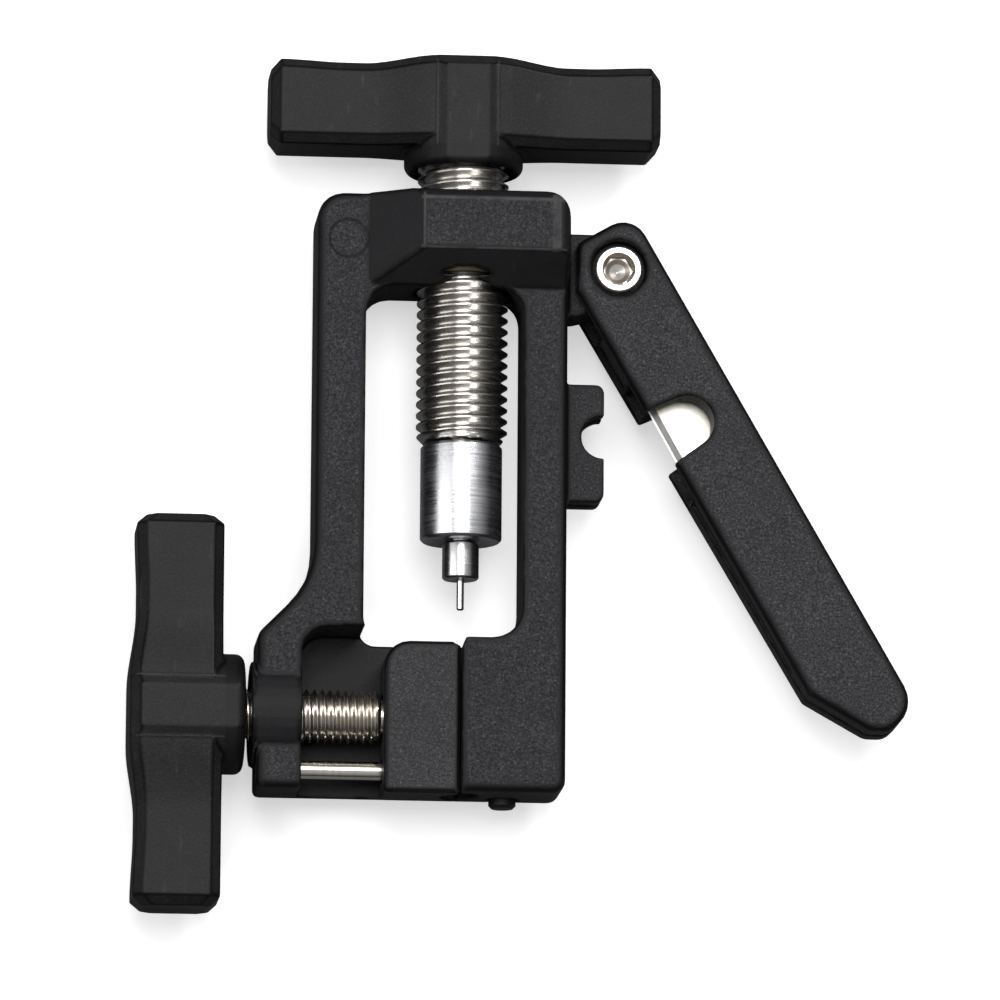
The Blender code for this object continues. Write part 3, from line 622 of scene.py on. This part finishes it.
def handle_masks(x, y, z, up):
    """The hub's rim is smoother and painted darker as shade, and a faint lighter line is painted where the
    centre block meets each wing.
    """
    a, height = y - REST_Y, z + MID
    block = (np.abs(np.abs(x) - 4.0) < 0.13) & (np.abs(height) > 6.2) & (a > 2.8) & (a < 14.2)
    hub = (a < 2.8) & (np.hypot(x, height) > 5.5)
    return hub * 0.6, block * 0.75


def handle(node, body, bore, place):
    mesh = moulded(joined(wing_mesh(), hub_mesh()), 0.17, 4)
    bend(mesh, 2, 0.022)
    rim = bore + 0.9
    mouth_profile = [(0, -3), (rim, -3), (rim, 0.1), (bore, 0.9), (bore, 5.0), (0, 5.0)]
    mouth = lathe("mouth", mouth_profile, Matrix.Identity(4), radius=0.02)
    mesh = cut_by(mesh, mouth)
    paint(mesh, handle_masks)
    mesh.transform(place)
    return piece(node + "_moulding", mesh, body, [node], handle_plastic, sharp=40)


handle("press_handle", "press", 6.3, TOOL @ Matrix.Translation((0, 82.7, 0)))
side_place = TOOL @ Matrix.Translation((-28.2, 10.2, 0)) @ Matrix.Rotation(radians(90), 4, "Z")
handle("clamp_handle", "clamp", 3.8, side_place)


# Press screw, barrel, holder and needle ----------------------------------------------------

piece("press_thread", thread("t", 6.0, 0.90, 1.5, 46.65, 93.9, PRESS, 112), "press", ["press_screw"],
      thread_y, sharp=24)
spigot = [(0, 41.1), (1.7, 41.1), (2.0, 41.4), (2.0, 46.8), (0, 46.8)]
piece("press_spigot", lathe("s", spigot, PRESS, 48), "press", [], thread_y)
barrel = [(1.9, 33.6), (5.0, 33.6), (5.35, 33.95), (5.35, 46.0), (5.0, 46.35), (2.35, 46.35), (2.3, 40.8),
          (1.85, 40.1)]
piece("driver_barrel_turned", lathe("b", barrel, PRESS, 128, 0.08, ring=True), "driver", ["driver_barrel"],
      barrel_steel, sharp=32)
holder = [(0.62, 28.6), (2.15, 28.6), (2.4, 28.85), (2.4, 33.3), (1.5, 33.3), (1.5, 37.0), (0.8, 37.0),
          (0.8, 29.1)]
piece("needle_holder_turned", lathe("h", holder, PRESS, 80, 0.06, ring=True), "driver", ["needle_holder"],
      holder_steel, sharp=32)
needle = [(0, 24.6), (0.36, 24.6), (0.48, 24.74), (0.48, 36.6), (0, 36.6)]
piece("needle_turned", lathe("n", needle, PRESS, 40, 0.05), "driver", ["needle"],
      needle_steel, sharp=40)
press_bush = [(6.2, 68.6), (6.2, 78.2), (6.7, 78.6), (7.2, 78.6), (7.2, 68.4), (6.4, 68.4)]
piece("press_bush", lathe("pb", press_bush, PRESS, 96, 0.05, ring=True), "frame_group", ["press_insert"],
      brass, sharp=32)


# Clamp screw, its bush, the guide pin and the clip -----------------------------------------

clamp_thread = thread("ct", 3.5, 0.58, 1.0, -39.5, -10.4, CLAMP, 88)
piece("clamp_thread", clamp_thread, "clamp", ["clamp_screw"], thread_x, sharp=24)
nose = [(0, -10.7), (2.3, -10.7), (2.3, -8.3), (1.6, -8.3), (1.6, -7.2), (2.3, -7.2), (2.3, -5.2),
        (1.9, -4.8), (0, -4.8)]
piece("clamp_nose", lathe("cn", nose, CLAMP, 64, 0.06), "clamp", [], thread_x, sharp=32)
clamp_bush = [(3.7, -27.0), (3.7, -21.3), (4.0, -21.2), (4.7, -21.2), (4.7, -27.1), (3.9, -27.1)]
piece("clamp_bush", lathe("cb", clamp_bush, CLAMP, 80, 0.05, ring=True), "frame_group", ["clamp_insert"],
      brass, sharp=32)
pin = [(0, -26.5), (0.9, -26.5), (1.2, -26.2), (1.2, -3.9), (0.9, -3.6), (0, -3.6)]
pin_place = TOOL @ Matrix.Translation((0, 3.1, 0)) @ Matrix.Rotation(radians(-90), 4, "Z")
piece("guide_pin_ground", lathe("gp", pin, pin_place, 64, 0.05), "jaw", ["guide_pin"],
      pin_steel, sharp=40)
for part, body, slot, finish, voxel in (
    ("jaw_clip", "jaw", "hardware_steel", screw_steel, 0.07),
    ("pivot_nut", "arm", "hardware_steel", screw_steel, 0.08),
    ("arm_screw_1", "arm", "hardware_steel", screw_steel, 0.08),
    ("arm_screw_2", "arm", "hardware_steel", screw_steel, 0.08),
    ("block_screw", "frame_group", "black_screw", black_oxide, 0.06),
):
    skin(part, body, finish, voxel, 2)

# Blade and pivot screw ---------------------------------------------------------------------

piece("blade_ground", cad_mesh("blade"), "arm", ["blade"], blade_steel, sharp=6)

bolt_mesh = moulded(cad_mesh("pivot_screw"), 0.07, 2)
bend(bolt_mesh, 2, 0.022)
bolt = piece("pivot_screw_head", bolt_mesh, "arm", ["pivot_screw"], screw_steel)
# The socket's walls and floor take the darker steel, as painted shade in the recess.
bolt.data.materials.append(shaded_socket_steel)
axis = ARM_PIVOT.translation * MM
for polygon in bolt.data.polygons:
    away = (polygon.center - axis).xy.length
    in_head = away < 0.0022 and polygon.center.z - axis.z > 0.0035
    if in_head and (away < 0.0016 or abs(polygon.normal.z) < 0.9):
        polygon.material_index = 1

# Floor, light and camera -------------------------------------------------------------------


def backlit_paper():
    """White paper lit through from below, so that shadows on it stay faint, over a dull bench."""
    n = Nodes("paper")
    n.set(Base_Color=(0.80, 0.80, 0.80), Roughness=0.9, Emission_Color=(1, 1, 1), Emission_Strength=0.55)
    dull = n.node("BsdfDiffuse", Color=(0.16, 0.16, 0.165, 1))
    seen = n.node("LightPath")
    both = n.node("MixShader", i0=seen, i1=dull, i2=n.shader.outputs[0])
    n.put(n.tree.nodes["Material Output"].inputs["Surface"], both)
    return n.material


floor_mesh = bpy.data.meshes.new("floor")
floor_mesh.from_pydata([(-4, -4, 0), (4, -4, 0), (4, 4, 0), (-4, 4, 0)], [], [(0, 1, 2, 3)])
floor = made("floor", floor_mesh)
floor.location.z = -0.0002
floor_mesh.materials.append(backlit_paper())

scene = bpy.context.scene
scene.view_settings.view_transform = "Standard"
world = bpy.data.worlds.new("studio")
scene.world = world
world.use_nodes = True
tree = world.node_tree
background = tree.nodes["Background"]
direction = tree.nodes.new("ShaderNodeTexCoord").outputs["Generated"]
split = tree.nodes.new("ShaderNodeSeparateXYZ")
tree.links.new(direction, split.inputs[0])
fade = tree.nodes.new("ShaderNodeMapRange")
tree.links.new(split.outputs["Z"], fade.inputs["Value"])
fade.inputs["From Min"].default_value = 0.25
fade.inputs["From Max"].default_value = 1.0
fade.inputs["To Min"].default_value = 0.05
fade.inputs["To Max"].default_value = 0.5
tree.links.new(fade.outputs["Result"], background.inputs["Strength"])
background.inputs["Color"].default_value = (1, 1, 1, 1)


def softbox(name, place, aim, width, height, power):
    light = bpy.data.lights.new(name, "AREA")
    light.shape = "RECTANGLE"
    light.size, light.size_y = width, height
    light.energy = power
    obj = bpy.data.objects.new(name, light)
    scene.collection.objects.link(obj)
    obj.location = place
    obj.rotation_euler = (Vector(aim) - Vector(place)).to_track_quat("-Z", "Y").to_euler()
    obj.visible_camera = False


AIM = Vector((5.137, -35.626, 9.8)) * MM
softbox("overhead", (-0.05, 0.30, 1.45), AIM, 0.8, 0.8, 12.0)
softbox("key", (0.65, 0.70, 1.05), AIM, 0.35, 0.35, 6.0)
softbox("side", (-0.95, 0.05, 0.75), AIM, 0.35, 0.9, 3.0)


def place_camera():
    azimuth, elevation, roll, distance, focal = radians(5.0), radians(10.6), radians(0.385), 1.2, 9166.7
    back = Vector((-sin(azimuth) * cos(elevation), -sin(elevation), cos(azimuth) * cos(elevation)))
    right = (-back).cross(Vector((0, 1, 0))).normalized()
    up = right.cross(-back)
    r = cos(roll) * right + sin(roll) * up
    u = -sin(roll) * right + cos(roll) * up
    data = bpy.data.cameras.new("camera")
    data.sensor_width = 36.0
    data.lens = 36.0 * focal / 1000
    data.clip_start, data.clip_end = 0.05, 20.0
    camera = bpy.data.objects.new("camera", data)
    scene.collection.objects.link(camera)
    turn = Matrix((r, u, back)).transposed().to_4x4()
    camera.matrix_world = Matrix.Translation(AIM + back * distance) @ turn
    scene.camera = camera


place_camera()

bpy.context.view_layer.update()
